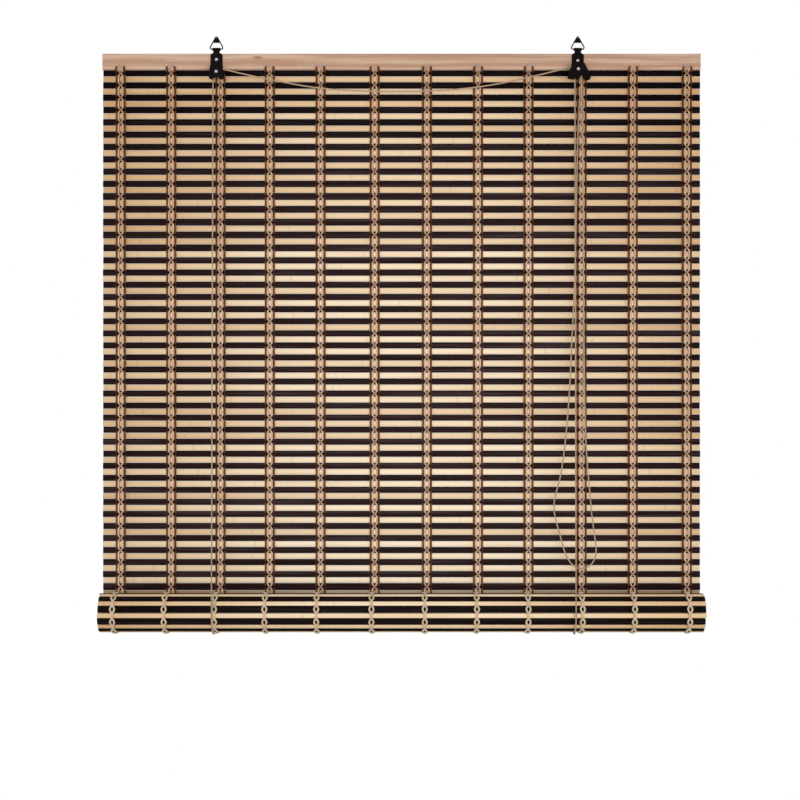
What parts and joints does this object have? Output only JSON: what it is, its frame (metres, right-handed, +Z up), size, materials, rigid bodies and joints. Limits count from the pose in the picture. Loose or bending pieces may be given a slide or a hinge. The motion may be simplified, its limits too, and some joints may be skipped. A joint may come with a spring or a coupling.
{
  "type": "bamboo roll up blind",
  "caption": "Roll-up blind of woven dark and pale bamboo slats on a wooden headrail, half rolled up from below, with lift cords, pulleys, a cord lock and hanging rings.",
  "frame": {"origin": "centre of the headrail's back face", "axes": "+X along the headrail to the viewer's right, +Z up, -Y towards the room"},
  "size_m": [0.9, 0.0703, 0.8964],
  "materials": {
    "pale_bamboo": "natural satin",
    "dark_bamboo": "dark stain, satin",
    "headrail_wood": "natural matt",
    "woven_string": "twisted cotton",
    "cord": "braided",
    "black_steel": "gloss black",
    "black_plastic": "moulded",
    "zinc": "zinc plate"
  },
  "bodies": {
    "blind": {"headrail": "headrail_wood", "dark_slats": "dark_bamboo", "pale_slats": "pale_bamboo", "warp_01": "woven_string", "warp_02": "woven_string", "warp_03": "woven_string", "warp_04": "woven_string", "warp_05": "woven_string", "warp_06": "woven_string", "warp_07": "woven_string", "warp_08": "woven_string", "warp_09": "woven_string", "warp_10": "woven_string", "warp_11": "woven_string", "warp_12": "woven_string", "left_bracket": "black_steel", "left_cheek": "black_steel", "right_bracket": "black_steel", "right_cheek": "black_steel", "bracket_screws": "zinc", "left_axle": "zinc", "right_axle": "zinc", "dog_pin": "black_steel", "left_lift_back": "cord", "left_lift_front": "cord", "right_lift_back": "cord", "right_lift_front": "cord", "cross_cord": "cord", "pull_cord": "cord"},
    "left_ring": {"left_ring": "black_steel"},
    "right_ring": {"right_ring": "black_steel"},
    "left_pulley": {"left_pulley": "black_plastic"},
    "right_back_pulley": {"right_back_pulley": "black_plastic"},
    "right_front_pulley": {"right_front_pulley": "black_plastic"},
    "lock_dog": {"lock_dog": "black_steel"},
    "roll_cradle": {"left_lift_saddle": "cord", "right_lift_saddle": "cord"},
    "roll": {"mat_roll": "pale_bamboo", "roll_warps": "woven_string", "bottom_rail": "headrail_wood"}
  },
  "joints": [
    {"name": "left_ring_swing", "type": "hinge", "parent": "blind", "child": "left_ring", "pos_m": [-0.2782, -0.0126, 0.0184], "axis": [1, 0, 0], "range_deg": [-100, 100]},
    {"name": "right_ring_swing", "type": "hinge", "parent": "blind", "child": "right_ring", "pos_m": [0.265, -0.0126, 0.0184], "axis": [1, 0, 0], "range_deg": [-100, 100]},
    {"name": "left_pulley_spin", "type": "hinge", "parent": "blind", "child": "left_pulley", "pos_m": [-0.2782, -0.0156, -0.0159], "axis": [0, 1, 0], "continuous": true},
    {"name": "right_back_pulley_spin", "type": "hinge", "parent": "blind", "child": "right_back_pulley", "pos_m": [0.265, -0.0156, -0.0128], "axis": [0, 1, 0], "continuous": true},
    {"name": "right_front_pulley_spin", "type": "hinge", "parent": "blind", "child": "right_front_pulley", "pos_m": [0.265, -0.0202, -0.0128], "axis": [0, 1, 0], "continuous": true},
    {"name": "lock_dog_turn", "type": "hinge", "parent": "blind", "child": "lock_dog", "pos_m": [0.2762, -0.0179, -0.0215], "axis": [0, 1, 0], "range_deg": [0, 35]},
    {"name": "roll_lift", "type": "slide", "parent": "blind", "child": "roll_cradle", "axis": [0, 0, 1], "range_m": [0, 0.745], "deforming": ["pale_slats", "dark_slats", "warp_01", "warp_02", "warp_03", "warp_04", "warp_05", "warp_06", "warp_07", "warp_08", "warp_09", "warp_10", "warp_11", "warp_12", "left_lift_back", "right_lift_back", "left_lift_front", "right_lift_front", "pull_cord"]},
    {"name": "roll_spin", "type": "hinge", "parent": "roll_cradle", "child": "roll", "pos_m": [0, -0.03666, -0.82503], "axis": [-1, 0, 0], "range_deg": [0, 1080]}
  ],
  "couplings": [
    {"joint": "roll_spin", "follows": "roll_lift", "rad_per_m": 25.3},
    {"joint": "left_pulley_spin", "follows": "roll_lift", "rad_per_m": 400},
    {"joint": "right_back_pulley_spin", "follows": "roll_lift", "rad_per_m": 400},
    {"joint": "right_front_pulley_spin", "follows": "roll_lift", "rad_per_m": 400}
  ]
}
